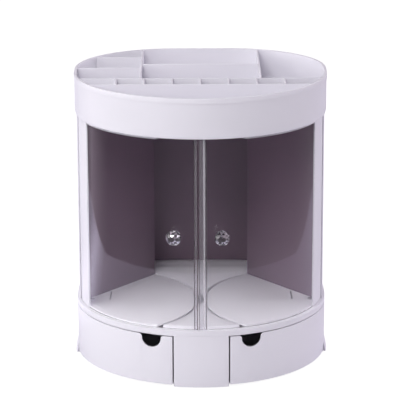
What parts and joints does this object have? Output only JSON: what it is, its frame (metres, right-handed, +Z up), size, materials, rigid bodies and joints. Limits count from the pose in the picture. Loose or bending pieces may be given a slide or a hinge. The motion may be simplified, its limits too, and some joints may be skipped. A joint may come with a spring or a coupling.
{
  "type": "swing-out makeup organizer",
  "caption": "D-shaped countertop makeup organizer with swing-out curved drawers, swing-out shelf units behind clear curved doors with crystal knobs, and a divided open tray on top.",
  "frame": {"origin": "on the surface the feet stand on, on the axis of the half-round front", "axes": "+Z up, -Y towards the front, +X to the right seen from the front"},
  "size_m": [0.2634, 0.2613, 0.2972],
  "materials": {
    "smoke_plastic": "smoke grey, satin",
    "white_plastic": "glossy white, faint lilac tint",
    "clear_acrylic": "clear polished acrylic",
    "crystal": "faceted clear crystal",
    "chrome_trim": "bright chrome",
    "steel": "plain steel",
    "bush_plastic": "natural acetal",
    "rubber": "matt black"
  },
  "bodies": {
    "frame": {"base_housing": "white_plastic", "centre_pillar": "white_plastic", "deck_plate": "white_plastic", "centre_floor": "white_plastic", "cabinet_shell": "white_plastic", "tray_shell": "white_plastic", "rack_front_wall": "white_plastic", "rack_rear_wall": "white_plastic", "slot_dividers": "white_plastic", "left_bay_wall": "white_plastic", "right_bay_wall": "white_plastic", "left_cross_dividers": "white_plastic", "centre_cross_divider": "white_plastic", "back_lining": "smoke_plastic", "rubber_feet": "rubber", "lower_bushes": "bush_plastic", "middle_bushes": "bush_plastic", "upper_bushes": "bush_plastic", "deck_screws": "steel", "shell_screws": "steel", "tray_screws": "steel"},
    "shelf_unit_left": {"swing_floor_left": "white_plastic", "swing_wall_left": "smoke_plastic", "swing_stile_left": "white_plastic", "swing_ceiling_left": "white_plastic", "swing_pins_left": "steel", "door_left": "clear_acrylic", "knob_crystal_left": "crystal", "knob_collar_left": "chrome_trim", "knob_screw_left": "chrome_trim"},
    "drawer_unit_left": {"drawer_left": "white_plastic", "drawer_pins_left": "steel"},
    "shelf_unit_right": {"swing_floor_right": "white_plastic", "swing_wall_right": "smoke_plastic", "swing_stile_right": "white_plastic", "swing_ceiling_right": "white_plastic", "swing_pins_right": "steel", "door_right": "clear_acrylic", "knob_crystal_right": "crystal", "knob_collar_right": "chrome_trim", "knob_screw_right": "chrome_trim"},
    "drawer_unit_right": {"drawer_right": "white_plastic", "drawer_pins_right": "steel"}
  },
  "joints": [
    {"name": "shelf_swing_left", "type": "hinge", "parent": "frame", "child": "shelf_unit_left", "pos_m": [-0.11296, -0.03197, 0.0614], "axis": [0, 0, -1], "range_deg": [0, 95]},
    {"name": "drawer_swing_left", "type": "hinge", "parent": "frame", "child": "drawer_unit_left", "pos_m": [-0.11296, -0.03197, 0.0036], "axis": [0, 0, -1], "range_deg": [0, 90]},
    {"name": "shelf_swing_right", "type": "hinge", "parent": "frame", "child": "shelf_unit_right", "pos_m": [0.11296, -0.03197, 0.0614], "axis": [0, 0, 1], "range_deg": [0, 95]},
    {"name": "drawer_swing_right", "type": "hinge", "parent": "frame", "child": "drawer_unit_right", "pos_m": [0.11296, -0.03197, 0.0036], "axis": [0, 0, 1], "range_deg": [0, 90]}
  ]
}
